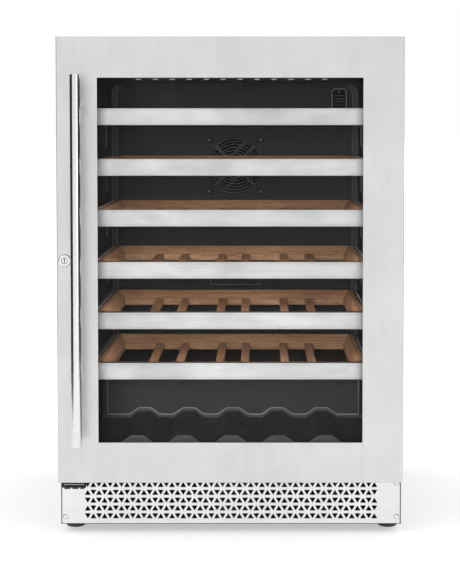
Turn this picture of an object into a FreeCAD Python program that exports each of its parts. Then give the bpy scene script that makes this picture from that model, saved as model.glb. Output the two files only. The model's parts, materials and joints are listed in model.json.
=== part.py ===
"""Built-in wine cooler, 600 mm class: cabinet, glass door, six pull-out racks.

Millimetres. +X is the viewer's right, +Z is up and the door faces -Y.
The origin is on the floor, under the centre of the whole appliance.
Depths are first measured from the cabinet's front plane (positive backwards)
and turned into the part's own Y by the function at().
"""
import FreeCAD, Part
import math
import os

V = FreeCAD.Vector
X_AXIS = V(1, 0, 0)
Y_AXIS = V(0, 1, 0)
Z_AXIS = V(0, 0, 1)

# Cabinet
CABINET_HALF = 298.5
CABINET_DEPTH = 525.0
CABINET_TOP = 866.0
BASE_Z = 16.0
SHEET = 1.2

# Liner: the inside faces of the cold compartment
LINER_HALF = 250.0
LINER_FLOOR = 152.0
LINER_TOP = 802.0
LINER_BACK = 478.0
LINER_SKIN = 2.0
STEP_FACE = 202.0
STEP_TOP = 260.0
STEP_HALF = 235.0
CHANNEL_BACK = 240.0
FLANGE_HALF = 297.0
FLANGE_BOTTOM = 100.0
ENGINE_FRONT = 247.0
ENGINE_TOP = 218.0

# Door
DOOR_HALF = 297.5
DOOR_BOTTOM = 100.0
DOOR_TOP = 868.0
DOOR_FRONT = -46.0
DOOR_BACK = -6.0
DOOR_SHEET = 1.2
WINDOW_HALF = 227.5
WINDOW_BOTTOM = 170.0
WINDOW_TOP = 798.0
GLASS_REBATE = 13.5
SEAL_WIDTH = 12.0
BEZEL_WIDTH = 4.5
SPACER_WIDTH = 7.0
PANE = 4.0
OUTER_PANE = -41.0
INNER_PANE = -22.0
GASKET_OUTER = 276.0
GASKET_WIDTH = 20.0

# Handle and lock
HANDLE_X = -260.0
HANDLE_Y = -88.0
HANDLE_R = 9.0
HANDLE_Z = (172.0, 802.0)
POST_R = 6.0
POST_INSET = 49.0
LOCK_X = -284.0
LOCK_Z = 485.0

# Door hinge
PIVOT_X = 286.0
PIVOT_Y = -27.0
PIN_R = 4.0
PIN_LENGTH = 14.0
PIN_CLEARANCE = 0.1
BUSH_R = 7.0
HINGE_PLATE = 3.0

# Racks
RACK_TOPS = (747.0, 658.5, 569.5, 478.0, 389.0, 300.0)
TRIM_HALF = 238.0
TRIM_FRONT = 9.0
TRIM_HEIGHT = 30.0
TRIM_DEPTH = 14.0
TRIM_SHEET = 1.5
RACK_BACK = 390.0
RAIL_WIDTH = 31.0
SIDE_RAIL_WIDTH = 19.5
RAIL_HEIGHT = 26.5
RAIL_LIP = 3.5
SIDE_RAIL_LIP = 8.5
BEVEL_RUN = 22.0
SIDE_BEVEL_RUN = 10.5
BEVEL_DROP = 14.0
SLAT_CENTRES = (-147.0, -97.0, -23.0, 23.0, 97.0, 147.0)
SLAT_WIDTH = 15.0
SLAT_THICKNESS = 9.0
RUNNER_FRONT = 32.0
RUNNER_BACK = 386.0

# Ceiling lights
CONSOLE_HEIGHT = 2.0
LENS_R = 4.8
LENS_PITCH = 30.4

# Rear air duct; a border step is its half width, top and corner chamfer
DUCT_FACE = 432.0
BORDER_INNER = (237.5, 795.0, 13.0)
BORDER_OUTER = (244.0, 799.0, 11.0)
DUCT_SHEET = 2.5
FAN_Z = 635.6
FAN_SIZE = 120.0
FAN_DEPTH = 25.0
FAN_SCREWS = 105.0
FAN_BORE_R = 57.0
ROTOR_R = 54.0
HUB_R = 20.0
GUARD_RINGS = 7
GUARD_PITCH = 6.0
VENT_HALF = 50.5
VENT_Z = (393.5, 424.0)
AIR_SLOT_ROWS = (299.0, 350.0)
AIR_SLOT_PITCH = 36.06

# Cord gland in the rear panel
GLAND_X = 235.0
GLAND_Z = 60.0
GLAND_R = 12.0

# Toe-kick grille
GRILLE_HALF = 296.8
GRILLE_BOTTOM = 17.5
GRILLE_TOP = 99.0
HOLE_PITCH = 9.88
HOLE_COLUMNS = 52
HOLE_ROWS = 5
HOLE_ROW_PITCH = 13.9
HOLE_FIRST_ROW = 30.6
HOLE_SIDE = 10.6
HOLE_HEIGHT = 9.0
KICK_SCREWS = ((-291.0, 29.0), (291.0, 29.0), (291.0, 88.0))
NOTCH_X = -254.5
NOTCH_Z = 80.5

# Feet
FOOT_X = 279.0
FOOT_R = 18.0
FOOT_HEIGHT = 13.0
FOOT_DEPTHS = (53.0, 485.0)
STUD_R = 4.0
STUD_TOP = 62.0

# The whole appliance runs from the handle to the rear panel
FRONT_REACH = -(HANDLE_Y - HANDLE_R)
FRONT_PLANE_Y = (FRONT_REACH - CABINET_DEPTH) / 2


def at(depth):
    """Turns a depth behind the cabinet's front plane into the part's Y."""
    return FRONT_PLANE_Y + depth


def box(x_range, depth_range, z_range):
    """A box between two corners, with its depths measured from the front plane."""
    size = [high - low for low, high in (x_range, depth_range, z_range)]
    corner = V(x_range[0], at(depth_range[0]), z_range[0])
    return Part.makeBox(size[0], size[1], size[2], corner)


def rod(radius, length, x, depth, z, direction):
    """A cylinder that starts at a point and runs along a direction."""
    return Part.makeCylinder(radius, length, V(x, at(depth), z), direction)


def prism_y(outline, depth_range):
    """An outline of (x, z) points, closed and extruded backwards."""
    points = [V(x, at(depth_range[0]), z) for x, z in outline]
    face = Part.Face(Part.makePolygon(points + points[:1]))
    return face.extrude(V(0, depth_range[1] - depth_range[0], 0))


def prism_x(outline, x_range):
    """An outline of (depth, z) points, closed and extruded sideways."""
    points = [V(x_range[0], at(depth), z) for depth, z in outline]
    face = Part.Face(Part.makePolygon(points + points[:1]))
    return face.extrude(V(x_range[1] - x_range[0], 0, 0))


def prism_z(outline, z_range):
    """An outline of (x, depth) points, closed and extruded upwards."""
    points = [V(x, at(depth), z_range[0]) for x, depth in outline]
    face = Part.Face(Part.makePolygon(points + points[:1]))
    return face.extrude(V(0, 0, z_range[1] - z_range[0]))


def fuse(shapes):
    """Joins shapes that touch or overlap into one clean solid."""
    return shapes[0].multiFuse(shapes[1:]).removeSplitter()


def group(shapes):
    """Keeps separate solids together in one sub-part."""
    return Part.makeCompound([solid for shape in shapes for solid in shape.Solids])


def save(name, shape):
    """Writes one sub-part."""
    if not shape.isValid():
        raise ValueError(name + " is not a valid shape")
    shape.exportStep("parts/" + name + ".step")


def mitred_frame(half, z_range, width, depth_range):
    """Four bars with mitred corners, round a rectangle seen from the front."""
    low, high = z_range
    outer = [(-half, low), (half, low), (half, high), (-half, high)]
    inner = [(-half + width, low + width), (half - width, low + width),
             (half - width, high - width), (-half + width, high - width)]
    bars = []
    for i in range(4):
        j = (i + 1) % 4
        bars.append(prism_y([outer[i], outer[j], inner[j], inner[i]], depth_range))
    return bars


def pipe(points, radius, bend):
    """A round pipe along straight runs with a tangent arc at each corner."""
    edges = []
    start = points[0]
    for before, corner, after in zip(points, points[1:], points[2:]):
        into = (corner - before).normalize()
        away = (after - corner).normalize()
        turn = into.getAngle(away)
        reach = bend * math.tan(turn / 2)
        arc_start = corner - into * reach
        arc_end = corner + away * reach
        middle = (away - into).normalize()
        centre = corner + middle * (bend / math.cos(turn / 2))
        arc_middle = centre - middle * bend
        edges.append(Part.LineSegment(start, arc_start).toShape())
        edges.append(Part.Arc(arc_start, arc_middle, arc_end).toShape())
        start = arc_end
    edges.append(Part.LineSegment(start, points[-1]).toShape())
    direction = points[1] - points[0]
    ring = Part.Wire([Part.Circle(points[0], direction, radius).toShape()])
    return Part.Wire(edges).makePipeShell([ring], True, False)


# ---------------------------------------------------------------- cabinet

def cabinet_panels():
    """Two painted side sheets and the top sheet."""
    inside = CABINET_HALF - SHEET
    depth = (0, CABINET_DEPTH)
    left = box((-CABINET_HALF, -inside), depth, (BASE_Z, CABINET_TOP))
    right = box((inside, CABINET_HALF), depth, (BASE_Z, CABINET_TOP))
    top = box((-inside, inside), depth, (CABINET_TOP - SHEET, CABINET_TOP))
    return group([left, right, top])


def rear_panel():
    """The back sheet, louvred behind the machine compartment."""
    inside = CABINET_HALF - SHEET
    panel = box((-inside, inside), (CABINET_DEPTH - SHEET, CABINET_DEPTH),
                (BASE_Z + 2, CABINET_TOP - SHEET))
    slot_length = 110
    slots = []
    for centre in (-150, 0, 150):
        for row in range(9):
            z = 50 + 15 * row
            slots.append(box((centre - slot_length / 2, centre + slot_length / 2),
                             (CABINET_DEPTH - 5, CABINET_DEPTH + 5), (z, z + 5)))
    gland_hole = rod(GLAND_R, 10, GLAND_X, CABINET_DEPTH - 5, GLAND_Z, Y_AXIS)
    return panel.cut(Part.makeCompound(slots + [gland_hole]))


def cord_gland():
    """The bushing where the supply lead passes the rear panel, flush with its outside."""
    flange = rod(GLAND_R, SHEET, GLAND_X, CABINET_DEPTH - SHEET, GLAND_Z, Y_AXIS)
    nut = rod(GLAND_R + 3, 6, GLAND_X, CABINET_DEPTH - SHEET - 6, GLAND_Z, Y_AXIS)
    bore = rod(4, 20, GLAND_X, CABINET_DEPTH - 10, GLAND_Z, Y_AXIS)
    return fuse([flange, nut]).cut(bore)


def base_pan():
    """The floor sheet of the machine compartment, with two screw tabs."""
    inside = CABINET_HALF - SHEET
    pan = box((-inside, inside), (1.6, CABINET_DEPTH - SHEET), (BASE_Z, BASE_Z + 2))
    tabs = [box((low, low + 12), (1.6, 3.0), (BASE_Z, 38)) for low in (-297, 285)]
    studs = [rod(STUD_R + 0.3, 10, x, depth, BASE_Z - 4, Z_AXIS)
             for x in (-FOOT_X, FOOT_X) for depth in FOOT_DEPTHS]
    screw_holes = [rod(1.8, 10, x, -2, 29, Y_AXIS) for x in (-291, 291)]
    return fuse([pan] + tabs).cut(Part.makeCompound(studs + screw_holes))


def insulation_foam():
    """Foam slabs between the liner and the outer sheets."""
    outer = CABINET_HALF - SHEET
    inner = LINER_HALF + LINER_SKIN
    front = 1.6
    back = CABINET_DEPTH - SHEET
    rear_skin = LINER_BACK + LINER_SKIN
    floor = LINER_FLOOR - LINER_SKIN
    ceiling = LINER_TOP + LINER_SKIN
    step_skin = STEP_FACE + LINER_SKIN
    step_half = STEP_HALF - LINER_SKIN
    step_z = (floor, STEP_TOP - LINER_SKIN)
    channel_skin = CHANNEL_BACK + LINER_SKIN
    side_z = (FLANGE_BOTTOM, CABINET_TOP - SHEET)
    return group([
        box((-outer, -inner), (front, back), side_z),
        box((inner, outer), (front, back), side_z),
        box((-inner, inner), (front, back), (ceiling, CABINET_TOP - SHEET)),
        box((-inner, inner), (rear_skin, back), (ENGINE_TOP, ceiling)),
        box((-inner, inner), (front, ENGINE_FRONT), (FLANGE_BOTTOM, floor)),
        box((-step_half, step_half), (step_skin, ENGINE_FRONT), step_z),
        box((-inner, -step_half), (channel_skin, ENGINE_FRONT), step_z),
        box((step_half, inner), (channel_skin, ENGINE_FRONT), step_z),
        box((-inner, inner), (ENGINE_FRONT, rear_skin), (ENGINE_TOP, STEP_TOP - LINER_SKIN)),
    ])


def inner_liner():
    """The moulded lining, with a front flange and a step whose sides are cut back by two channels."""
    def section(grow, front):
        return [(front, LINER_FLOOR - grow), (STEP_FACE + grow, LINER_FLOOR - grow),
                (STEP_FACE + grow, STEP_TOP - grow), (LINER_BACK + grow, STEP_TOP - grow),
                (LINER_BACK + grow, LINER_TOP + grow), (front, LINER_TOP + grow)]
    outside = prism_x(section(LINER_SKIN, 0), (-LINER_HALF - LINER_SKIN, LINER_HALF + LINER_SKIN))
    flange = box((-FLANGE_HALF, FLANGE_HALF), (0, 1.6), (FLANGE_BOTTOM, CABINET_TOP - SHEET))
    hollow = prism_x(section(0, -5), (-LINER_HALF, LINER_HALF))
    skins = []
    channels = []
    for side in (-1, 1):
        skin_x = sorted((side * (STEP_HALF - LINER_SKIN), side * (LINER_HALF + LINER_SKIN)))
        channel_x = sorted((side * STEP_HALF, side * LINER_HALF))
        skins.append(box(skin_x, (STEP_FACE, CHANNEL_BACK + LINER_SKIN),
                         (LINER_FLOOR - LINER_SKIN, STEP_TOP)))
        channels.append(box(channel_x, (STEP_FACE - 5, CHANNEL_BACK), (LINER_FLOOR, STEP_TOP + 5)))
    return fuse([outside, flange] + skins).cut(Part.makeCompound([hollow] + channels))


def ceiling_console():
    """The touch panel under the front of the ceiling, and the light bar behind it."""
    low = LINER_TOP - CONSOLE_HEIGHT
    blocks = [box((-75, 75), (10, 50), (low, LINER_TOP)), box((-180, 180), (78, 96), (low, LINER_TOP))]
    return group([block.makeFillet(0.8, [e for e in block.Edges if abs(e.CenterOfMass.z - low) < 0.1])
                  for block in blocks])


def led_lenses():
    """Twelve round lenses under the light bar."""
    height = 1.3
    lenses = []
    for i in range(12):
        lens = rod(LENS_R, height, (i - 5.5) * LENS_PITCH, 87, LINER_TOP - CONSOLE_HEIGHT - height, Z_AXIS)
        lenses.append(lens.makeFillet(0.9, [lens.Edges[2]]))
    return group(lenses)


def bottle_tray():
    """The moulded tray for the bottom row, waved so that bottles lie between crests."""
    pitch = 83.2
    crest_flat = 23.0
    valley_flat = 27.0
    rise = 12.0
    wall = 2.5
    edge = 246.0
    front, back = 15.0, 197.0
    valley_front = 157.0
    climb = 10.0
    lip = 5.5

    def wave(base):
        slope = (pitch - crest_flat - valley_flat) / 2
        points = [(-edge, base)]
        for k in range(-2, 3):
            middle = k * pitch
            points.append((middle - crest_flat / 2 - slope, base))
            points.append((middle - crest_flat / 2, base + rise))
            points.append((middle + crest_flat / 2, base + rise))
            points.append((middle + crest_flat / 2 + slope, base))
        points.append((edge, base))
        return points

    def section(depth, bottom, top):
        low = [V(x, at(depth), z) for x, z in wave(bottom)]
        high = [V(x, at(depth), z) for x, z in reversed(wave(top))]
        return Part.makePolygon(low + high + low[:1])

    def skirt(depth, base, height):
        outline = wave(base + height) + [(edge, LINER_FLOOR), (-edge, LINER_FLOOR)]
        return prism_y(outline, (depth, depth + wall))

    def post(side):
        low, high = sorted((side * STEP_HALF, side * (STEP_HALF + 3)))
        return box((low, high), (back - wall, back), (LINER_FLOOR, STEP_TOP - 1))

    sheet = Part.makeLoft([section(front, valley_front - wall, valley_front),
                           section(back, valley_front + climb - wall, valley_front + climb)],
                          True, True)
    return fuse([sheet, skirt(front, valley_front, 0), skirt(back - wall, valley_front + climb, lip),
                 post(-1), post(1)])


# ------------------------------------------------------------- rear air duct

def slot(width, height, x, z):
    """A cutting tool for a round-ended slot through the duct cover."""
    radius = height / 2
    reach = width / 2 - radius
    depth = DUCT_FACE - 10
    bar = box((x - reach, x + reach), (depth, depth + 20), (z - radius, z + radius))
    ends = [rod(radius, 20, x + side * reach, depth, z, Y_AXIS) for side in (-1, 1)]
    return fuse([bar] + ends)


def duct_border(half, top, chamfer, depth_range):
    """One step of the moulding round the duct cover: two columns, two bevelled corners and a bar."""
    outer = LINER_HALF - 0.4
    ceiling = LINER_TOP - 0.1
    shoulder = top - chamfer
    parts = [prism_y([(-half + chamfer, top), (half - chamfer, top),
                      (half - chamfer, ceiling), (-half + chamfer, ceiling)], depth_range)]
    for side in (-1, 1):
        parts.append(prism_y([(side * outer, STEP_TOP), (side * half, STEP_TOP),
                              (side * half, shoulder), (side * outer, shoulder)], depth_range))
        parts.append(prism_y([(side * outer, shoulder), (side * half, shoulder),
                              (side * (half - chamfer), top), (side * (half - chamfer), ceiling),
                              (side * outer, ceiling)], depth_range))
    return parts


def duct_cover():
    """The panel in front of the evaporator: stepped border, vent plate, air slots and screw wells."""
    clear = LINER_HALF - 0.4
    sheet = box((-clear, clear), (DUCT_FACE, DUCT_FACE + DUCT_SHEET), (STEP_TOP, LINER_TOP - 0.1))
    vent = box((-VENT_HALF, VENT_HALF), (DUCT_FACE - 4, DUCT_FACE), VENT_Z)
    tools = [rod(FAN_BORE_R + 0.8, 20, 0, DUCT_FACE - 10, FAN_Z, Y_AXIS)]
    tools += [slot(20, 5, (i - 1.5) * 23, 402.5) for i in range(4)]
    tools += [slot(29, 5.5, (i - 4) * AIR_SLOT_PITCH, z) for z in AIR_SLOT_ROWS for i in range(9)]
    for x, z in guard_screws():
        well = rod(5.6, 3, x, DUCT_FACE - 1.4, z, Y_AXIS)
        tools.append(well.cut(rod(3.4, 3, x, DUCT_FACE - 1.4, z, Y_AXIS)))
    panel = fuse([sheet, vent]).cut(Part.makeCompound(tools))
    border = duct_border(*BORDER_INNER, (DUCT_FACE - 8, DUCT_FACE))
    border += duct_border(*BORDER_OUTER, (DUCT_FACE - 18, DUCT_FACE - 8))
    return group([panel] + border)


def guard_screws():
    """The four corners of the fan's screw square, as (x, z)."""
    half = FAN_SCREWS / 2
    return [(sx * half, FAN_Z + sz * half) for sx in (-1, 1) for sz in (-1, 1)]


def fan_guard():
    """The finger guard in the duct cover: rings, diagonal spokes and two bars beside the hub."""
    depth = DUCT_FACE
    thickness = DUCT_SHEET + 1.5
    rim = FAN_BORE_R - 1
    parts = [rod(13, thickness, 0, depth, FAN_Z, Y_AXIS)]
    for step in range(GUARD_RINGS):
        radius = rim - GUARD_PITCH * step
        ring = rod(radius, thickness - 0.5, 0, depth + 0.5, FAN_Z, Y_AXIS)
        parts.append(ring.cut(rod(radius - 1.6, thickness + 2, 0, depth - 1, FAN_Z, Y_AXIS)))
    reach = FAN_SCREWS / math.sqrt(2) - 8
    for angle in (45, 135):
        spoke = box((-rim + 1, rim - 1), (depth, depth + thickness), (FAN_Z - 0.9, FAN_Z + 0.9))
        tab = box((-reach, reach), (depth + DUCT_SHEET, depth + thickness), (FAN_Z - 1.5, FAN_Z + 1.5))
        for bar in (spoke, tab):
            bar.rotate(V(0, at(depth), FAN_Z), Y_AXIS, angle)
            parts.append(bar)
    for turn in (0, 180):
        bar = box((-8, rim + 5), (depth - 0.6, depth + thickness), (FAN_Z + 18, FAN_Z + 21))
        bar = bar.common(rod(rim, thickness + 2, 0, depth - 1, FAN_Z, Y_AXIS))
        bar.rotate(V(0, at(depth), FAN_Z), Y_AXIS, -45 + turn)
        parts.append(bar)
    return fuse(parts)


def fan_frame(x, depth, z):
    """A square axial fan housing with a bore, a motor seat, three arms and screw holes."""
    half = FAN_SIZE / 2
    housing = box((x - half, x + half), (depth, depth + FAN_DEPTH), (z - half, z + half))
    housing = housing.makeFillet(6, [e for e in housing.Edges if abs(e.Length - FAN_DEPTH) < 0.1])
    bore = rod(FAN_BORE_R, FAN_DEPTH + 2, x, depth - 1, z, Y_AXIS)
    screws = [rod(2.2, FAN_DEPTH + 2, x + sx * FAN_SCREWS / 2, depth - 1, z + sz * FAN_SCREWS / 2, Y_AXIS)
              for sx in (-1, 1) for sz in (-1, 1)]
    arms = []
    back = depth + FAN_DEPTH
    for k in range(3):
        arm = box((x, x + FAN_BORE_R + 1), (back - 4, back), (z - 3, z + 3))
        arm.rotate(V(x, at(depth), z), Y_AXIS, 30 + 120 * k)
        arms.append(arm)
    seat = rod(HUB_R, 4, x, back - 4, z, Y_AXIS)
    return fuse([housing.cut(Part.makeCompound([bore] + screws)), seat] + arms)


def fan_rotor(x, depth, z):
    """A hub with seven twisted blades, spinning about an axis along Y."""
    hub = rod(HUB_R, FAN_DEPTH - 7, x, depth + 2, z, Y_AXIS)
    blades = []
    for k in range(7):
        blade = box((x + HUB_R - 5, x + ROTOR_R + 5), (depth + 10, depth + 11.8), (z - 15, z + 15))
        blade.rotate(V(x, at(depth + 11), z), X_AXIS, 30)
        blade.rotate(V(x, at(depth), z), Y_AXIS, 360 / 7 * k)
        blades.append(blade)
    limit = rod(ROTOR_R, FAN_DEPTH - 7, x, depth + 2, z, Y_AXIS)
    return fuse([hub] + [blade.common(limit) for blade in blades])


def finned_coil(x_range, depth, heights, fin_pitch, margin):
    """A serpentine tube through a stack of thin fins."""
    radius = 4.0
    length = x_range[1] - x_range[0]
    runs = [rod(radius, length, x_range[0], depth, z, X_AXIS) for z in heights]
    turns = []
    for i, (low, high) in enumerate(zip(heights, heights[1:])):
        right = i % 2 == 0
        x = x_range[1] if right else x_range[0]
        ring = Part.makeTorus((high - low) / 2, radius, V(x, at(depth), (low + high) / 2), Y_AXIS)
        side = (x, x + 50) if right else (x - 50, x)
        outer_half = box(side, (depth - 20, depth + 20), (low - 20, high + 20))
        turns.append(ring.common(outer_half))
    holes = Part.makeCompound(runs)
    fins = []
    for i in range(int((length - 20) / fin_pitch) + 1):
        x = x_range[0] + 10 + i * fin_pitch
        fin = box((x, x + 0.8), (depth - margin, depth + margin), (heights[0] - 9, heights[-1] + 9))
        fins.append(fin.cut(holes))
    return group([fuse(runs + turns)] + fins)


def sensor_cover():
    """The rounded cap over the temperature sensor."""
    cap = box((193, 228), (DUCT_FACE - 12, DUCT_FACE), (732, 794))
    cap = cap.makeFillet(9, [e for e in cap.Edges if abs(e.Length - 12) < 0.1])
    front = [e for e in cap.Edges if abs(e.BoundBox.YMax - at(DUCT_FACE - 12)) < 0.1]
    return cap.makeFillet(4, front)


# ------------------------------------------------------- machine compartment

def compressor():
    """The hermetic shell on its foot plate, with a seam flange and a terminal box."""
    x, depth, foot = -125.0, 395.0, BASE_Z + 14
    shell = rod(62, 150, x, depth, foot + 3, Z_AXIS)
    shell = shell.makeFillet(30, [e for e in shell.Edges if len(e.Vertexes) == 1])
    seam = rod(65, 6, x, depth, foot + 80, Z_AXIS)
    plate = box((x - 85, x + 85), (depth - 45, depth + 45), (foot, foot + 4))
    plate = plate.makeFillet(8, [e for e in plate.Edges if abs(e.Length - 4) < 0.1])
    terminals = box((x - 25, x + 25), (depth - 82, depth - 50), (foot + 40, foot + 90))
    holes = [rod(5, 20, x + sx * 72, depth + sy * 34, foot - 5, Z_AXIS) for sx in (-1, 1) for sy in (-1, 1)]
    return fuse([shell, seam, plate, terminals]).cut(Part.makeCompound(holes))


def compressor_mounts():
    """Four rubber grommets that carry the foot plate."""
    mounts = []
    for sx in (-1, 1):
        for sy in (-1, 1):
            x, depth = -125 + sx * 72, 395 + sy * 34
            pad = rod(11, 12, x, depth, BASE_Z + 2, Z_AXIS)
            neck = rod(5, 6, x, depth, BASE_Z + 14, Z_AXIS)
            cap = rod(8, 4, x, depth, BASE_Z + 18, Z_AXIS)
            mounts.append(fuse([pad, neck, cap]))
    return group(mounts)


def drip_tray():
    """The open pan over the compressor that evaporates the meltwater."""
    outside = box((-215, -35), (330, 460), (186, 208))
    inside = box((-213, -37), (332, 458), (188, 210))
    return outside.cut(inside)


def refrigerant_pipes():
    """The discharge pipe, the suction pipe and the filter drier."""
    discharge = pipe([V(-55, at(395), 150), V(-20, at(395), 150), V(-20, at(395), 60),
                      V(10, at(395), 60)], 3, 12)
    suction = pipe([V(-125, at(318), 165), V(-125, at(290), 165), V(-125, at(290), 217.5)], 4, 14)
    drier = rod(9, 110, 235, 300, 150, Y_AXIS)
    drier = drier.makeFillet(6, drier.Edges[:1] + drier.Edges[2:3])
    return group([discharge, suction, drier])


# ---------------------------------------------------------- toe-kick and feet

def toe_kick_grille():
    """The perforated plate under the door: rows of alternating triangles."""
    plate = box((-GRILLE_HALF, GRILLE_HALF), (0, SHEET), (GRILLE_BOTTOM, GRILLE_TOP))
    notch = box((-GRILLE_HALF - 5, NOTCH_X), (-5, 5), (NOTCH_Z, GRILLE_TOP + 5))
    tools = [notch]
    for row in range(HOLE_ROWS):
        z = HOLE_FIRST_ROW + HOLE_ROW_PITCH * (HOLE_ROWS - 1 - row)
        for column in range(HOLE_COLUMNS):
            x = (column - (HOLE_COLUMNS - 1) / 2) * HOLE_PITCH
            point = -1 if (row + column) % 2 == 0 else 1
            flat = z - point * HOLE_HEIGHT / 2
            tools.append(prism_y([(x - HOLE_SIDE / 2, flat), (x + HOLE_SIDE / 2, flat),
                                  (x, z + point * HOLE_HEIGHT / 2)], (-5, 5)))
    tools += [rod(2.2, 10, x, -5, z, Y_AXIS) for x, z in KICK_SCREWS]
    return plate.cut(Part.makeCompound(tools))


def toe_kick_screws():
    """Three cross-head screws that hold the grille."""
    screws = []
    for x, z in KICK_SCREWS:
        head = rod(4, 1.8, x, -1.8, z, Y_AXIS)
        head = head.makeFillet(1.2, [e for e in head.Edges if abs(e.CenterOfMass.y - at(-1.8)) < 0.1])
        shank = rod(1.7, 10, x, 0, z, Y_AXIS)
        cross = [box((x - 2.2, x + 2.2), (-3, -1.0), (z - 0.4, z + 0.4)),
                 box((x - 0.4, x + 0.4), (-3, -1.0), (z - 2.2, z + 2.2))]
        screws.append(fuse([head, shank]).cut(Part.makeCompound(cross)))
    return group(screws)


def foot(x, depth):
    """A levelling foot: a round sole on a threaded stud."""
    sole = rod(FOOT_R, FOOT_HEIGHT, x, depth, 0, Z_AXIS)
    low_edge = [e for e in sole.Edges if len(e.Vertexes) == 1 and e.CenterOfMass.z < 0.1]
    sole = sole.makeFillet(5.5, low_edge)
    stud = rod(STUD_R, STUD_TOP - FOOT_HEIGHT, x, depth, FOOT_HEIGHT, Z_AXIS)
    return fuse([sole, stud])


# ------------------------------------------------------------------- door

def hinge_pockets():
    """The spaces in the door's corners that the hinge arms reach into."""
    x_range = (270, DOOR_HALF + 3)
    depth_range = (DOOR_FRONT + DOOR_SHEET, DOOR_BACK + 2)
    return Part.makeCompound([
        box(x_range, depth_range, (DOOR_TOP - 5.3, DOOR_TOP + 2)),
        box(x_range, depth_range, (DOOR_BOTTOM - 2, DOOR_BOTTOM + 5.3))])


def door_skin():
    """The folded stainless sheet that faces the door."""
    skin_back = DOOR_BACK - 2
    sheet = box((-DOOR_HALF, DOOR_HALF), (DOOR_FRONT, skin_back), (DOOR_BOTTOM, DOOR_TOP))
    sheet = sheet.makeFillet(1.6, [e for e in sheet.Edges if abs(e.CenterOfMass.y - at(DOOR_FRONT)) < 0.1])
    core = box((-DOOR_HALF + DOOR_SHEET, DOOR_HALF - DOOR_SHEET),
               (DOOR_FRONT + DOOR_SHEET, skin_back + 5), (DOOR_BOTTOM + DOOR_SHEET, DOOR_TOP - DOOR_SHEET))
    window = box((-WINDOW_HALF, WINDOW_HALF), (DOOR_FRONT - 5, DOOR_FRONT + 5), (WINDOW_BOTTOM, WINDOW_TOP))
    lock_hole = rod(8, 10, LOCK_X, DOOR_FRONT - 5, LOCK_Z, Y_AXIS)
    return sheet.cut(Part.makeCompound([core])).cut(window).cut(lock_hole).cut(hinge_pockets())


def door_core():
    """The rigid moulded frame inside the door: two stiles and two rails."""
    half = DOOR_HALF - DOOR_SHEET
    width = half - WINDOW_HALF - GLASS_REBATE
    bars = mitred_frame(half, (DOOR_BOTTOM + DOOR_SHEET, DOOR_TOP - DOOR_SHEET), width,
                        (DOOR_FRONT + DOOR_SHEET, DOOR_BACK))
    lock_hole = rod(8, 60, LOCK_X, DOOR_FRONT - 5, LOCK_Z, Y_AXIS)
    bush_holes = [rod(BUSH_R, 40, PIVOT_X, PIVOT_Y, z, Z_AXIS) for z in (DOOR_BOTTOM - 20, DOOR_TOP - 20)]
    return group([bar.cut(lock_hole).cut(hinge_pockets()).cut(Part.makeCompound(bush_holes)) for bar in bars])


def glass_surround():
    """The seal in front of the glass and the bezel behind it, mitred at the corners."""
    half = WINDOW_HALF + GLASS_REBATE
    z_range = (WINDOW_BOTTOM - GLASS_REBATE, WINDOW_TOP + GLASS_REBATE)
    seal = mitred_frame(half, z_range, SEAL_WIDTH, (DOOR_FRONT + DOOR_SHEET, OUTER_PANE))
    bezel = mitred_frame(half, z_range, BEZEL_WIDTH, (INNER_PANE + PANE, DOOR_BACK))
    return group(seal + bezel)


def glass_panes():
    """The two panes of the sealed glass unit."""
    x_range = (-WINDOW_HALF - GLASS_REBATE, WINDOW_HALF + GLASS_REBATE)
    z_range = (WINDOW_BOTTOM - GLASS_REBATE, WINDOW_TOP + GLASS_REBATE)
    return group([box(x_range, (front, front + PANE), z_range) for front in (OUTER_PANE, INNER_PANE)])


def glass_spacer():
    """The aluminium spacer that keeps the panes apart."""
    half = WINDOW_HALF + GLASS_REBATE - 1
    z_range = (WINDOW_BOTTOM - GLASS_REBATE + 1, WINDOW_TOP + GLASS_REBATE - 1)
    return group(mitred_frame(half, z_range, SPACER_WIDTH, (OUTER_PANE + PANE, INNER_PANE)))


def door_gasket():
    """The magnetic seal, mitred at the corners."""
    middle = (DOOR_BOTTOM + DOOR_TOP) / 2
    reach = (DOOR_TOP - DOOR_BOTTOM) / 2 - (DOOR_HALF - GASKET_OUTER)
    z_range = (middle - reach, middle + reach)
    return group(mitred_frame(GASKET_OUTER, z_range, GASKET_WIDTH, (DOOR_BACK, -0.3)))


def handle_bar():
    """The long tube of the handle."""
    length = HANDLE_Z[1] - HANDLE_Z[0]
    tube = rod(HANDLE_R, length, HANDLE_X, HANDLE_Y, HANDLE_Z[0], Z_AXIS)
    bore = rod(HANDLE_R - 1.5, length, HANDLE_X, HANDLE_Y, HANDLE_Z[0], Z_AXIS)
    return tube.cut(bore)


def handle_fittings():
    """Two plugs that close the tube's ends, and two round posts that hold it off the door."""
    plug_r = HANDLE_R - 1.5
    plugs = [rod(plug_r, 10, HANDLE_X, HANDLE_Y, z, Z_AXIS) for z in (HANDLE_Z[0], HANDLE_Z[1] - 10)]
    bar = rod(HANDLE_R, HANDLE_Z[1] - HANDLE_Z[0], HANDLE_X, HANDLE_Y, HANDLE_Z[0], Z_AXIS)
    reach = DOOR_FRONT - HANDLE_Y
    posts = [rod(POST_R, reach, HANDLE_X, HANDLE_Y, z, Y_AXIS).cut(bar)
             for z in (HANDLE_Z[0] + POST_INSET, HANDLE_Z[1] - POST_INSET)]
    return group(plugs + posts)


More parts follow.
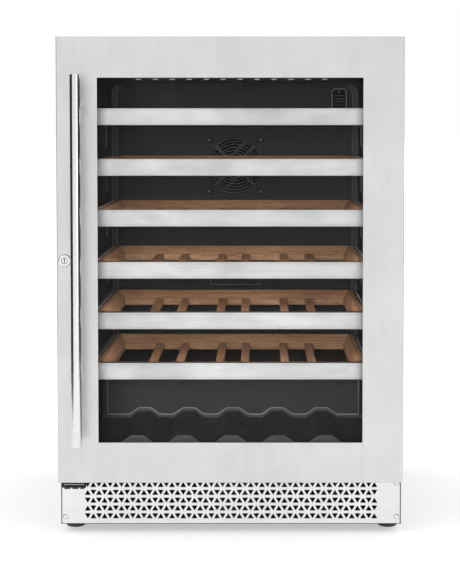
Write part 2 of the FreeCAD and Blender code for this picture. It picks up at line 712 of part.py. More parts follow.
def lock_barrel():
    """The lock's fixed housing, with a raised rim on the door's face."""
    rim = rod(10, 3.5, LOCK_X, DOOR_FRONT - 3.5, LOCK_Z, Y_AXIS)
    rim = rim.makeFillet(1, [e for e in rim.Edges if abs(e.CenterOfMass.y - at(DOOR_FRONT - 3.5)) < 0.1])
    body = rod(8, DOOR_BACK - DOOR_FRONT, LOCK_X, DOOR_FRONT, LOCK_Z, Y_AXIS)
    bore = rod(5.1, 60, LOCK_X, DOOR_FRONT - 10, LOCK_Z, Y_AXIS)
    return fuse([rim, body]).cut(bore)


def lock_plug():
    """The turning core with its keyway, and the tongue behind the door, hanging down while unlocked."""
    core = rod(5, DOOR_BACK - DOOR_FRONT + 3, LOCK_X, DOOR_FRONT - 3, LOCK_Z, Y_AXIS)
    spindle = rod(2.5, 4.6, LOCK_X, DOOR_BACK, LOCK_Z, Y_AXIS)
    tongue = box((LOCK_X - 3.5, LOCK_X + 3.5), (-3.4, -1.4), (LOCK_Z - 8.5, LOCK_Z + 3.5))
    keyway = box((LOCK_X - 0.8, LOCK_X + 0.8), (DOOR_FRONT - 4, DOOR_FRONT + 14),
                 (LOCK_Z - 3.6, LOCK_Z + 3.6))
    return fuse([core, spindle, tongue]).cut(keyway)


def lock_strike():
    """The hook on the cabinet that the cam turns behind."""
    post = box((-296.3, -293.8), (-5.2, 0), (LOCK_Z - 6, LOCK_Z + 6))
    lip = box((-296.3, -288.0), (-5.2, -4.0), (LOCK_Z - 6, LOCK_Z + 6))
    return fuse([post, lip])


def hinge_brackets():
    """Upper and lower corner hinges, and the mounting plates that let the door hang on either side."""
    brackets = []
    for upper in (True, False):
        plate_z = DOOR_TOP - 5 if upper else DOOR_BOTTOM + 1.7
        leg_z = (plate_z - 28, plate_z + HINGE_PLATE) if upper else (plate_z, plate_z + 28)
        leg = box((278, 294), (-2, 0), leg_z)
        arm = box((278, 294), (PIVOT_Y, -0.5), (plate_z, plate_z + HINGE_PLATE))
        nose = rod(8, HINGE_PLATE, PIVOT_X, PIVOT_Y, plate_z, Z_AXIS)
        pin_start = plate_z - PIN_LENGTH if upper else plate_z + HINGE_PLATE
        pin = rod(PIN_R, PIN_LENGTH, PIVOT_X, PIVOT_Y, pin_start, Z_AXIS)
        brackets.append(fuse([leg, arm, nose, pin]))
    for side in (-1, 1):
        low, high = sorted((side * 258.0, side * 296.5))
        plate = box((low, high), (3.2, 7.0), (79.0, 99.5))
        holes = [rod(2.0, 12, side * x, 0, z, Y_AXIS) for x, z in ((291, 88), (280, 92), (266, 86))]
        brackets.append(plate.cut(Part.makeCompound(holes)))
    return group(brackets)


def hinge_bushes():
    """Two nylon bushes that the hinge pins turn in."""
    bushes = []
    for low in (DOOR_BOTTOM + 5.3, DOOR_TOP - 5.3 - PIN_LENGTH):
        sleeve = rod(BUSH_R, PIN_LENGTH, PIVOT_X, PIVOT_Y, low, Z_AXIS)
        bushes.append(sleeve.cut(rod(PIN_R + PIN_CLEARANCE, PIN_LENGTH, PIVOT_X, PIVOT_Y, low, Z_AXIS)))
    return group(bushes)


# ------------------------------------------------------------------ racks

def rack_trim(top):
    """The folded stainless strip on the front of a rack, with a crease near each rolled edge."""
    low = top - TRIM_HEIGHT
    strip = box((-TRIM_HALF, TRIM_HALF), (TRIM_FRONT, TRIM_FRONT + TRIM_DEPTH), (low, top))
    long_edges = [e for e in strip.Edges
                  if abs(e.CenterOfMass.y - at(TRIM_FRONT)) < 0.1 and e.Length > 2 * TRIM_HEIGHT]
    strip = strip.makeFillet(1.4, long_edges)
    hollow = box((-TRIM_HALF + TRIM_SHEET, TRIM_HALF - TRIM_SHEET),
                 (TRIM_FRONT + TRIM_SHEET, TRIM_FRONT + TRIM_DEPTH + 5),
                 (low + TRIM_SHEET, top - TRIM_SHEET))
    creases = [box((-TRIM_HALF - 1, TRIM_HALF + 1), (TRIM_FRONT - 1, TRIM_FRONT + 0.4), (z, z + 0.5))
               for z in (low + 3.4, top - 3.9)]
    return strip.cut(Part.makeCompound([hollow] + creases))


def rack_wood(top):
    """The wooden rack: four mitred rails with an inward bevel, and six slats."""
    upper = top - TRIM_SHEET - 0.3
    lower = upper - RAIL_HEIGHT
    front = TRIM_FRONT + TRIM_SHEET
    half = TRIM_HALF - TRIM_SHEET
    rails = []
    outer = [(-half, front), (half, front), (half, RACK_BACK), (-half, RACK_BACK)]
    inside = half - SIDE_RAIL_WIDTH
    inner = [(-inside, front + RAIL_WIDTH), (inside, front + RAIL_WIDTH),
             (inside, RACK_BACK - RAIL_WIDTH), (-inside, RACK_BACK - RAIL_WIDTH)]
    bevel = bevel_tool(half, front, upper)
    for i in range(4):
        j = (i + 1) % 4
        rail = prism_z([outer[i], outer[j], inner[j], inner[i]], (lower, upper))
        rails.append(rail.cut(bevel))
    slats = []
    slat_top = upper - BEVEL_DROP
    for x in SLAT_CENTRES:
        slat = box((x - SLAT_WIDTH / 2, x + SLAT_WIDTH / 2),
                   (front + RAIL_WIDTH, RACK_BACK - RAIL_WIDTH), (slat_top - SLAT_THICKNESS, slat_top))
        long_edges = [e for e in slat.Edges if e.Length > 100 and e.CenterOfMass.z > slat_top - 1]
        slats.append(slat.makeFillet(1.8, long_edges))
    return group(rails + slats)


def bevel_tool(half, front, upper):
    """The tapered block that cuts the bevel round the inside of a rack's rails."""
    def ring(side_inset, inset, z):
        x = half - side_inset
        near, far = at(front + inset), at(RACK_BACK - inset)
        return Part.makePolygon([V(-x, near, z), V(x, near, z), V(x, far, z), V(-x, far, z), V(-x, near, z)])
    return Part.makeLoft([ring(SIDE_RAIL_LIP, RAIL_LIP, upper),
                          ring(SIDE_RAIL_LIP + SIDE_BEVEL_RUN, RAIL_LIP + BEVEL_RUN, upper - BEVEL_DROP)],
                         True, True)


def rack_runners(top):
    """The two moving slide members, screwed to the rack's sides."""
    middle = top - TRIM_SHEET - 0.3 - RAIL_HEIGHT / 2
    inside = TRIM_HALF - TRIM_SHEET
    members = []
    for side in (-1, 1):
        low, high = sorted((side * inside, side * 247.5))
        bar = box((low, high), (RUNNER_FRONT, RUNNER_BACK), (middle - 9, middle + 9))
        low, high = sorted((side * (inside + 1.6), side * 255))
        groove = box((low, high), (RUNNER_FRONT - 5, RUNNER_BACK + 5), (middle - 7.2, middle + 7.2))
        members.append(bar.cut(groove))
    return group(members)


def rack_guides():
    """Twelve fixed slide channels on the liner's side walls."""
    channels = []
    for top in RACK_TOPS:
        middle = top - TRIM_SHEET - 0.3 - RAIL_HEIGHT / 2
        for side in (-1, 1):
            low, high = sorted((side * 239, side * LINER_HALF))
            bar = box((low, high), (34, 398), (middle - 12, middle + 12))
            low, high = sorted((side * 230, side * (LINER_HALF - 1.6)))
            groove = box((low, high), (20, 420), (middle - 10, middle + 10))
            channels.append(bar.cut(groove))
    return group(channels)


# ------------------------------------------------------------------- output

def build():
    """Makes every sub-part and writes its file."""
    os.makedirs("parts", exist_ok=True)
    parts = {
        "cabinet_panels": cabinet_panels(),
        "rear_panel": rear_panel(),
        "cord_gland": cord_gland(),
        "base_pan": base_pan(),
        "insulation_foam": insulation_foam(),
        "inner_liner": inner_liner(),
        "ceiling_console": ceiling_console(),
        "led_lenses": led_lenses(),
        "bottle_tray": bottle_tray(),
        "duct_cover": duct_cover(),
        "fan_guard": fan_guard(),
        "evaporator_fan_frame": fan_frame(0, DUCT_FACE + DUCT_SHEET + 2, FAN_Z),
        "evaporator_fan_rotor": fan_rotor(0, DUCT_FACE + DUCT_SHEET + 2, FAN_Z),
        "evaporator_coil": finned_coil((-170, 170), 457, [330 + 30 * i for i in range(7)], 12, 14),
        "sensor_cover": sensor_cover(),
        "compressor": compressor(),
        "compressor_mounts": compressor_mounts(),
        "drip_tray": drip_tray(),
        "refrigerant_pipes": refrigerant_pipes(),
        "condenser_coil": finned_coil((20, 200), 360, [50 + 24 * i for i in range(7)], 9, 16),
        "condenser_fan_frame": fan_frame(110, 385, 120),
        "condenser_fan_rotor": fan_rotor(110, 385, 120),
        "toe_kick_grille": toe_kick_grille(),
        "toe_kick_screws": toe_kick_screws(),
        "hinge_brackets": hinge_brackets(),
        "lock_strike": lock_strike(),
        "rack_guides": rack_guides(),
        "door_skin": door_skin(),
        "door_core": door_core(),
        "glass_surround": glass_surround(),
        "glass_panes": glass_panes(),
        "glass_spacer": glass_spacer(),
        "door_gasket": door_gasket(),
        "hinge_bushes": hinge_bushes(),
        "handle_bar": handle_bar(),
        "handle_fittings": handle_fittings(),
        "lock_barrel": lock_barrel(),
        "lock_plug": lock_plug(),
    }
    for number, top in enumerate(RACK_TOPS, start=1):
        parts["rack_%d_trim" % number] = rack_trim(top)
        parts["rack_%d_wood" % number] = rack_wood(top)
        parts["rack_%d_runners" % number] = rack_runners(top)
    for row, depth in zip(("front", "rear"), FOOT_DEPTHS):
        for side, x in (("left", -FOOT_X), ("right", FOOT_X)):
            parts["foot_%s_%s" % (row, side)] = foot(x, depth)
    for name, shape in parts.items():
        save(name, shape)
    print(len(parts), "sub-parts")


build()
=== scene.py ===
"""The looks of a built-in wine cooler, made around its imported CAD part."""

import json
import math

import bmesh
import bpy
from mathutils import Matrix, Vector


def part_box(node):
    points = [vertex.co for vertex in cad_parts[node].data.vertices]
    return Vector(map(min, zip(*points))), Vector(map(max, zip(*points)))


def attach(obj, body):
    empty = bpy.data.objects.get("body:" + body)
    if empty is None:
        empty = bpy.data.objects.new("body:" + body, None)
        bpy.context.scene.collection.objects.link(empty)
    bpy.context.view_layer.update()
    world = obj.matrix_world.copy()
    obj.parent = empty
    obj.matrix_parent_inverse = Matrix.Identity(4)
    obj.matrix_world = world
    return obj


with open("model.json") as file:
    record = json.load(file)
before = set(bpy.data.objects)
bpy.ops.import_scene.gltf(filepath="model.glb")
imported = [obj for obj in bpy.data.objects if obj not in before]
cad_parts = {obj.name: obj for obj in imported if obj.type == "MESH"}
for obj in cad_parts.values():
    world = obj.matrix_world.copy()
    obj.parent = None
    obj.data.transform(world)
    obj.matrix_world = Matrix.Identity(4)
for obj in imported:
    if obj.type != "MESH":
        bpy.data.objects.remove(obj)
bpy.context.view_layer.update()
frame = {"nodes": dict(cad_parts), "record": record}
NODES = frame["nodes"]
PIECES = {}

RACKS = range(1, 7)
# Sizes of the added pieces, in metres.
SIDE_RAIL, END_RAIL = 0.0195, 0.031
BOARD_CELL = (0.046, 1.0, 0.085)
MOULDING_OUT = 0.0010
SIDE_RIB_GAP, SIDE_RIB_LENGTH, SIDE_RIB_DEPTH = 0.005, 0.042, 0.115
TRAY_HALF, STEP_EDGE = 0.2345, 0.2362
GUIDE_INNER = 0.2397
RIVET_COUNT, RIVET_PITCH, RIVET_START = 24, 0.0148, 0.012
FAN_SCREW_HALF = 0.0525
# Each border line of the duct wall: half its width, its drop from the ceiling and its depth.
BORDER_LINES = ((0.2375, 0.007, 0.2098), (0.2408, 0.005, 0.2098), (0.2440, 0.003, 0.1998),
                (0.2468, 0.0015, 0.1998))
BORDER_CUT = 0.012
VENT_HALF, VENT_BOTTOM, VENT_TOP, VENT_FACE = 0.0505, 0.3935, 0.4240, 0.2136
KICK_SCREWS = ((-0.291, 0.029), (0.291, 0.029), (0.291, 0.088))
NOTCH_TABS = ((-0.293, -0.282), (-0.279, -0.268), (-0.265, -0.2575))
NOTCH_END, NOTCH_EDGE_HEIGHT, NOTCH_TAB_HEIGHT = -0.2575, 0.0862, 0.0800
SENSOR_INSET, LOUVRE_COUNT, LOUVRE_PITCH = 0.003, 7, 0.0062
SCREW_INSET = 0.008
RIB_STEPS, RIB_HALF = (-0.15, -0.05, 0.05, 0.15), 0.2

# Where the camera and the stage are, in metres.
CAMERA_PLACE = (0.051, -2.81, 0.713)
CAMERA_PITCH = 2.55
CAMERA_LENS = 94.7
CAMERA_SHIFT = (-0.053, -0.158)
FLAG_AWAY, FLAG_FRONT, FLAG_BACK, FLAG_HEIGHT = 1.5, 1.3, 1.0, 2.4
FLOOR_RADIUS, FLOOR_GLOW = 90.0, 0.47
WHITE = (1.0, 1.0, 1.0, 1.0)
# Each soft light's place, target and size in metres, then its power in watts.
KEY_LIGHT = ((-2.0, -2.6, 2.4), (0, 0, 0.7), (1.8, 1.8), 23)
FILL_LIGHT = ((2.2, -2.4, 1.3), (0, 0, 0.6), (0.5, 2.6), 17)
WINDOW_LIGHT = ((-0.25, -3.1, 0.80), (0, 0, 0.5), (0.9, 0.5))
WINDOW_POWER, WINDOW_WOOD_POWER, RACK_LIGHT_POWER = 70, 46, 0.30
RACK_LIGHT_SIZE = (0.42, 0.02)


def grey(value):
    return (value, value, value, 1.0)


class Paint:
    """One material's nodes, with a short call for each kind that it uses."""

    def __init__(self, name):
        self.material = bpy.data.materials.new(name)
        self.material.use_nodes = True
        self.tree = self.material.node_tree
        self.tree.nodes.clear()
        self.place = self.node("ShaderNodeTexCoord").outputs["Object"]

    def node(self, kind, inputs=None, **settings):
        made = self.tree.nodes.new(kind)
        for key, value in settings.items():
            setattr(made, key, value)
        for key, value in (inputs or {}).items():
            self.put(made.inputs[key], value)
        return made

    def put(self, socket, value):
        if isinstance(value, bpy.types.NodeSocket):
            self.tree.links.new(value, socket)
        else:
            socket.default_value = value

    def noise(self, scale, detail=3.0, stretch=(1, 1, 1)):
        vector = self.node("ShaderNodeMapping", {"Vector": self.place, "Scale": stretch}).outputs[0]
        made = self.node("ShaderNodeTexNoise", {"Vector": vector, "Scale": scale, "Detail": detail})
        return made.outputs["Fac"]

    def spread(self, value, low, high, start=0.35, end=0.65):
        """value from start to end becomes low to high."""
        made = self.node("ShaderNodeMapRange", {"Value": value, "From Min": start, "From Max": end,
                                                "To Min": low, "To Max": high})
        return made.outputs["Result"]

    def sum(self, operation, a, b=0.0):
        return self.node("ShaderNodeMath", {0: a, 1: b}, operation=operation).outputs[0]

    def mix(self, factor, a, b, blend="MIX"):
        made = self.node("ShaderNodeMix", {0: factor, 6: a, 7: b}, data_type="RGBA", blend_type=blend)
        return made.outputs[2]

    def rounded(self, radius):
        """The normal with rounded edges, and a mask that is 1 on the edges."""
        bevel = self.node("ShaderNodeBevel", {"Radius": radius}, samples=4).outputs[0]
        flat = self.node("ShaderNodeNewGeometry").outputs["Normal"]
        dot = self.node("ShaderNodeVectorMath", {0: bevel, 1: flat}, operation="DOT_PRODUCT")
        return bevel, self.spread(dot.outputs["Value"], 1.0, 0.0, 0.80, 0.99)

    def bump(self, height, depth, normal=None):
        made = self.node("ShaderNodeBump", {"Height": height, "Strength": 1.0, "Distance": depth})
        if normal is not None:
            self.put(made.inputs["Normal"], normal)
        return made.outputs[0]

    def finish(self, shader):
        output = self.node("ShaderNodeOutputMaterial")
        self.tree.links.new(shader.outputs[0], output.inputs["Surface"])
        return self.material

    def surface(self, **inputs):
        """A Principled shader with these inputs, where an underscore stands for a space."""
        named = {key.replace("_", " "): value for key, value in inputs.items()}
        return self.finish(self.node("ShaderNodeBsdfPrincipled", named))


def brushed_metal(name, along, tone, roughness, streak=0.012, edge=0.0006, cloud=0.06, ends=None):
    """Brushed stainless: fine streaks along one axis, faint cloudy stains and edges painted lighter, partly
    wear and partly a painted highlight.
    Beyond ends, sideways from the middle, it is painted brighter as a painted highlight."""
    paint = Paint(name)
    stretch = [1.0, 1.0, 1.0]
    stretch[along] = 0.012
    fine = paint.noise(2600.0, 2.0, stretch)
    broad = paint.noise(420.0, 3.0, stretch)
    clouds = paint.noise(9.0, 5.0)
    patches = paint.noise(60.0, 3.0, [0.35 if axis == along else 1.0 for axis in range(3)])
    smudges = paint.noise(55.0, 5.0)
    normal, worn = paint.rounded(edge)
    light = [min(1.0, c * (1 + streak)) for c in tone] + [1.0]
    dark = [c * (1 - streak) for c in tone] + [1.0]
    colour = paint.mix(paint.spread(broad, 0.0, 1.0), dark, light)
    colour = paint.mix(paint.spread(clouds, 0.0, 1.0, 0.4, 0.7), colour,
                       paint.mix(1.0, colour, grey(1 - cloud), "MULTIPLY"))
    colour = paint.mix(paint.spread(patches, 0.0, 1.0, 0.4, 0.65), colour,
                       paint.mix(1.0, colour, grey(1 - 0.5 * cloud), "MULTIPLY"))
    # Past ends the colour is painted near white: a painted highlight.
    if ends is not None:
        sideways = paint.node("ShaderNodeSeparateXYZ", {"Vector": paint.place}).outputs[0]
        painted_highlight_ends = paint.spread(paint.sum("ABSOLUTE", sideways), 0.0, 0.9, ends, ends + 0.02)
        colour = paint.mix(painted_highlight_ends, colour, grey(0.99))
    # Edges painted lighter: partly wear, partly a painted highlight.
    colour = paint.mix(paint.sum("MULTIPLY", worn, 0.5), colour, grey(0.9))
    rough = paint.sum("ADD", paint.spread(fine, roughness - 0.04, roughness + 0.04),
                      paint.spread(smudges, -0.015, 0.03))
    bumped = paint.bump(fine, 0.000006, paint.bump(broad, 0.000004, normal))
    return paint.surface(Base_Color=colour, Metallic=1.0, Roughness=rough, Normal=bumped)


def polished_metal(name, tone, roughness=0.12):
    """Polished steel with fine turning lines, small dull spots and hazy stains."""
    paint = Paint(name)
    lines = paint.noise(1500.0, 2.0, (1, 1, 0.2))
    dull = paint.noise(130.0, 4.0)
    normal, worn = paint.rounded(0.0004)
    colour = paint.mix(paint.spread(dull, 0.0, 0.12, 0.45, 0.7), tone + (1.0,), grey(0.45))
    colour = paint.mix(paint.sum("MULTIPLY", worn, 0.4), colour, grey(0.85))
    rough = paint.sum("ADD", paint.spread(lines, roughness - 0.03, roughness + 0.03),
                      paint.spread(dull, 0.0, 0.05, 0.5, 0.8))
    return paint.surface(Base_Color=colour, Metallic=1.0, Roughness=rough,
                         Normal=paint.bump(lines, 0.00001, normal))


def painted_sheet(name, tone, roughness=0.42, grain=900.0, depth=0.00006):
    """Powder coat: orange-peel grain, dust in the roughness and lighter worn edges."""
    paint = Paint(name)
    peel = paint.noise(grain, 2.0)
    dust = paint.noise(9.0, 6.0)
    normal, worn = paint.rounded(0.0008)
    colour = paint.mix(paint.spread(dust, 0.0, 0.3), tone + (1.0,), tuple(c * 1.4 for c in tone) + (1.0,))
    colour = paint.mix(paint.sum("MULTIPLY", worn, 0.25), colour, grey(0.16))
    rough = paint.sum("ADD", paint.spread(dust, roughness, roughness + 0.03),
                      paint.spread(peel, -0.03, 0.03))
    return paint.surface(Base_Color=colour, Metallic=0.0, Roughness=rough,
                         Normal=paint.bump(peel, depth, normal))


def moulded_plastic(name, tone, roughness=0.5, grain=2200.0, depth=0.00005, edge=0.0008, shine=0.5,
                    rub=3.0):
    """Textured moulding: a fine spark-eroded grain, slight flow marks and shinier edges painted lighter,
    partly wear and partly a painted highlight; rub sets how much lighter.
    """
    paint = Paint(name)
    fine = paint.noise(grain, 2.0)
    flow = paint.noise(14.0, 5.0, (1, 1, 0.4))
    normal, worn = paint.rounded(edge)
    colour = paint.mix(paint.spread(flow, 0.0, 1.0), tuple(c * 0.85 for c in tone) + (1.0,),
                       tuple(c * 1.2 for c in tone) + (1.0,))
    colour = paint.mix(paint.spread(fine, 0.0, 0.3), colour, tuple(c * 2.0 for c in tone) + (1.0,))
    # Edges painted lighter by rub: partly wear, partly a painted highlight.
    colour = paint.mix(paint.sum("MULTIPLY", worn, 0.6), colour, tuple(c * rub for c in tone) + (1.0,))
    rough = paint.sum("SUBTRACT", paint.spread(flow, roughness - 0.04, roughness + 0.06),
                      paint.sum("MULTIPLY", worn, 0.12))
    return paint.surface(Base_Color=colour, Metallic=0.0, Roughness=rough, Specular_IOR_Level=shine,
                         Normal=paint.bump(fine, depth, normal))


def rubber(name, tone):
    """Soft rubber: matt, with a bloom in patches and fine ribs."""
    paint = Paint(name)
    bloom = paint.noise(45.0, 5.0)
    fine = paint.noise(1800.0, 2.0)
    normal, _ = paint.rounded(0.0007)
    colour = paint.mix(paint.spread(bloom, 0.0, 0.6), tone + (1.0,), tuple(c * 2.2 for c in tone) + (1.0,))
    return paint.surface(Base_Color=colour, Metallic=0.0, Roughness=paint.spread(bloom, 0.62, 0.82),
                         Sheen_Weight=0.15, Normal=paint.bump(fine, 0.00005, normal))


def galvanised(name):
    """Zinc-coated sheet: angular spangles of slightly different shade and gloss."""
    paint = Paint(name)
    cells = paint.node("ShaderNodeTexVoronoi", {"Vector": paint.place, "Scale": 130.0, "Randomness": 1.0})
    shade = paint.node("ShaderNodeRGBToBW", {"Color": cells.outputs["Color"]}).outputs[0]
    fine = paint.noise(900.0, 3.0)
    normal, worn = paint.rounded(0.0006)
    colour = paint.mix(paint.spread(shade, 0.0, 1.0, 0.2, 0.8), (0.47, 0.49, 0.51, 1), (0.58, 0.60, 0.62, 1))
    colour = paint.mix(paint.sum("MULTIPLY", worn, 0.5), colour, grey(0.8))
    rough = paint.sum("ADD", paint.spread(shade, 0.30, 0.48, 0.2, 0.8), paint.spread(fine, -0.03, 0.03))
    return paint.surface(Base_Color=colour, Metallic=1.0, Roughness=rough,
                         Normal=paint.bump(fine, 0.00002, normal))


def bare_metal(name, tone, roughness, along):
    """Drawn or stamped metal, such as copper tube or fins: drawing lines and dull oxide patches."""
    paint = Paint(name)
    stretch = [1.0, 1.0, 1.0]
    stretch[along] = 0.03
    lines = paint.noise(1600.0, 2.0, stretch)
    oxide = paint.noise(38.0, 5.0)
    normal, worn = paint.rounded(0.0004)
    colour = paint.mix(paint.spread(oxide, 0.0, 0.7), tone + (1.0,), tuple(c * 0.55 for c in tone) + (1.0,))
    bright = tuple(min(1, c * 1.3) for c in tone) + (1.0,)
    colour = paint.mix(paint.sum("MULTIPLY", worn, 0.4), colour, bright)
    rough = paint.sum("ADD", paint.spread(oxide, roughness - 0.05, roughness + 0.15),
                      paint.spread(lines, -0.04, 0.04))
    return paint.surface(Base_Color=colour, Metallic=1.0, Roughness=rough,
                         Normal=paint.bump(lines, 0.00002, normal))


def beech(name, shade=1.0):
    """Oiled wood whose grain runs along each rail and slat, with a mitre where the rails meet."""
    paint = Paint(name)
    low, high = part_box("rack_1_wood")
    axes = paint.node("ShaderNodeSeparateXYZ", {"Vector": paint.place}).outputs
    side = paint.sum("SUBTRACT", high.x, paint.sum("ABSOLUTE", axes[0]))
    ends = paint.sum("MINIMUM", paint.sum("SUBTRACT", axes[1], low.y), paint.sum("SUBTRACT", high.y, axes[1]))
    mitre = paint.sum("LESS_THAN", ends, paint.sum("MULTIPLY", side, END_RAIL / SIDE_RAIL))
    across = paint.sum("MULTIPLY", paint.sum("LESS_THAN", ends, END_RAIL + 2 * MOULDING_OUT), mitre)
    grains = []
    for stretch in ((1, 0.045, 1), (0.045, 1, 1)):
        warp = paint.noise(24.0, 3.0, stretch)
        pores = paint.noise(900.0, 2.0, stretch)
        bands = paint.noise(150.0, 4.0, stretch)
        figure = paint.sum("ADD", paint.sum("MULTIPLY", bands, 0.6), paint.sum("MULTIPLY", warp, 0.4))
        grains.append((figure, pores))
    picked = []
    for along_y, along_x in zip(*grains):
        swap = paint.node("ShaderNodeMix", {0: across, 2: along_y, 3: along_x})
        picked.append(swap.outputs[0])
    figure, pores = picked
    board = paint.node("ShaderNodeTexWhiteNoise",
                       {"Vector": paint.node("ShaderNodeVectorMath", {0: paint.place, 1: BOARD_CELL},
                                             operation="SNAP").outputs[0]}).outputs["Value"]
    normal, worn = paint.rounded(0.0012)
    late_wood, early_wood = (0.29, 0.142, 0.070, 1), (0.47, 0.265, 0.145, 1)
    pore_brown, board_brown = (0.13, 0.060, 0.030, 1), (0.16, 0.085, 0.045, 1)
    worn_brown = (0.50, 0.31, 0.18, 1)
    colour = paint.mix(paint.spread(figure, 0.0, 1.0, 0.38, 0.62), late_wood, early_wood)
    colour = paint.mix(paint.spread(pores, 0.75, 0.0, 0.38, 0.50), colour, pore_brown)
    colour = paint.mix(paint.sum("MULTIPLY", board, 0.30), colour, board_brown)
    colour = paint.mix(paint.sum("MULTIPLY", worn, 0.35), colour, worn_brown)
    colour = paint.mix(1.0, colour, grey(shade), "MULTIPLY")
    rough = paint.sum("ADD", paint.spread(figure, 0.54, 0.66), paint.spread(pores, 0.10, 0.0))
    bumped = paint.bump(pores, 0.00008, paint.bump(figure, 0.0001, normal))
    return paint.surface(Base_Color=colour, Metallic=0.0, Roughness=rough, Specular_IOR_Level=0.18,
                         Normal=bumped)


def foam(name, tone):
    """Expanded foam: a skin of small closed cells."""
    paint = Paint(name)
    cells = paint.node("ShaderNodeTexVoronoi", {"Vector": paint.place, "Scale": 700.0}).outputs["Distance"]
    patches = paint.noise(30.0, 4.0)
    colour = paint.mix(paint.spread(patches, 0.0, 0.6), tone + (1.0,), tuple(c * 0.7 for c in tone) + (1.0,))
    return paint.surface(Base_Color=colour, Metallic=0.0, Roughness=paint.spread(patches, 0.75, 0.95),
                         Normal=paint.bump(cells, 0.0003))


def clear_glass(name):
    """A clear pane: see-through face on, with a reflection that grows towards grazing and a trace of dust."""
    paint = Paint(name)
    dust = paint.noise(18.0, 6.0)
    through = paint.node("ShaderNodeBsdfTransparent", {"Color": (0.975, 0.977, 0.976, 1)})
    shine = paint.node("ShaderNodeBsdfGlossy", {"Color": WHITE, "Roughness": paint.spread(dust, 0.02, 0.06)})
    fresnel = paint.node("ShaderNodeFresnel", {"IOR": 1.10}).outputs[0]
    amount = paint.sum("ADD", fresnel, paint.spread(dust, 0.0, 0.0015, 0.5, 0.8))
    made = paint.node("ShaderNodeMixShader", {0: amount, 1: through.outputs[0], 2: shine.outputs[0]})
    return paint.finish(made)


def lamp_lens(name, strength):
    """A frosted lens that glows."""
    paint = Paint(name)
    frost = paint.noise(1200.0, 2.0)
    power = paint.spread(frost, strength * 0.8, strength)
    return paint.surface(Base_Color=(0.9, 0.92, 0.95, 1), Roughness=paint.spread(frost, 0.3, 0.5),
                         Emission_Color=(0.93, 0.97, 1.0, 1), Emission_Strength=power)


STEEL = (0.65, 0.65, 0.645)
MATERIALS = {
    "black_paint": painted_sheet("black_powder_coat", (0.022, 0.022, 0.024)),
    "zinc_sheet": galvanised("galvanised_sheet"),
    "stainless": brushed_metal("brushed_stainless_upright", 2, STEEL, 0.34),
    "polished_steel": polished_metal("polished_steel", (0.80, 0.80, 0.80)),
    "slide_steel": painted_sheet("black_slide_steel", (0.018, 0.018, 0.019), 0.32, 1400.0, 0.00003),
    "beech": beech("oiled_beech"),
    "foam": foam("insulation_foam", (0.55, 0.48, 0.33)),
    "liner_plastic": moulded_plastic("black_liner", (0.016, 0.016, 0.0165), 0.5, shine=0.2, rub=5.0),
    "black_plastic": moulded_plastic("black_moulding", (0.014, 0.014, 0.0145), 0.5, shine=0.25, rub=6.0),
    "tray_plastic": moulded_plastic("charcoal_tray", (0.017, 0.0165, 0.016), 0.42, 1600.0, shine=0.3,
                                    rub=6.0),
    "black_rubber": rubber("black_rubber", (0.012, 0.012, 0.012)),
    "clear_glass": clear_glass("clear_glass"),
    "aluminium": bare_metal("aluminium_fins", (0.72, 0.73, 0.75), 0.36, 2),
    "copper": bare_metal("copper_tube", (0.72, 0.36, 0.22), 0.30, 0),
    "led_lens": lamp_lens("led_lens", 0.30),
    "nylon": moulded_plastic("natural_nylon", (0.62, 0.60, 0.55), 0.42),
}
LEVEL_STEEL = brushed_metal("brushed_stainless_level", 0, (0.78, 0.78, 0.775), 0.34)
DUCT_PLASTIC = moulded_plastic("grained_duct_panel", (0.013, 0.013, 0.0132), 0.6, 1100.0, 0.00012,
                               shine=0.15, rub=4.0)
SHADED_BEECH = beech("shaded_beech", 0.80)
# Pale grey moulding for the liner ribs, the tray's front lip and the sensor louvres: a painted highlight.
RIM_HIGHLIGHT_PLASTIC = moulded_plastic("painted_highlight_moulding", (0.055, 0.055, 0.056), 0.38, shine=0.5)
# Lighter grey for raised lines and edges on the black duct wall: a painted highlight.
EDGE_HIGHLIGHT_PLASTIC = moulded_plastic("lit_moulding_edge", (0.12, 0.12, 0.12), 0.38, shine=0.5)
# Near-white grey for the step's rim and the sensor's rim: a painted highlight.
LIP_HIGHLIGHT_PLASTIC = moulded_plastic("lit_moulding_lip", (0.24, 0.24, 0.24), 0.38, shine=0.5)
# Dark grey moulding; on the fronts of the tray's crests it is a painted highlight.
CREST_PLASTIC = moulded_plastic("worn_crest", (0.036, 0.036, 0.036), 0.5, 1600.0, shine=0.3)
GUARD_PLASTIC = moulded_plastic("guard_moulding", (0.042, 0.042, 0.042), 0.5, shine=0.15, rub=3.0)
WELL_SCREW = painted_sheet("blackened_screw", (0.035, 0.035, 0.035), 0.35)
SEAL = moulded_plastic("grey_glazing_seal", (0.50, 0.50, 0.49), 0.5)
SHADOW_PLASTIC = moulded_plastic("unlit_moulding", (0.003, 0.003, 0.003), 0.85, shine=0.0)
# The trims' stainless is painted lighter than the door's, and brighter still past 0.206 m from the middle:
# painted highlight.
TRIM_STEEL = brushed_metal("brushed_trim", 0, (0.875, 0.88, 0.88), 0.34, streak=0.035, cloud=0.22, ends=0.206)
HANDLE_STEEL = polished_metal("handle_tube", (0.72, 0.72, 0.72), 0.16)
SCREW_STEEL = polished_metal("screw_steel", (0.66, 0.66, 0.67), 0.22)
RIVET = bare_metal("zinc_rivet", (0.78, 0.78, 0.79), 0.35, 2)
# Near-black fins: painted shade for coils that sit deep inside the cabinet.
SHADED_FINS = bare_metal("fins_painted_shade", (0.022, 0.022, 0.023), 0.5, 2)
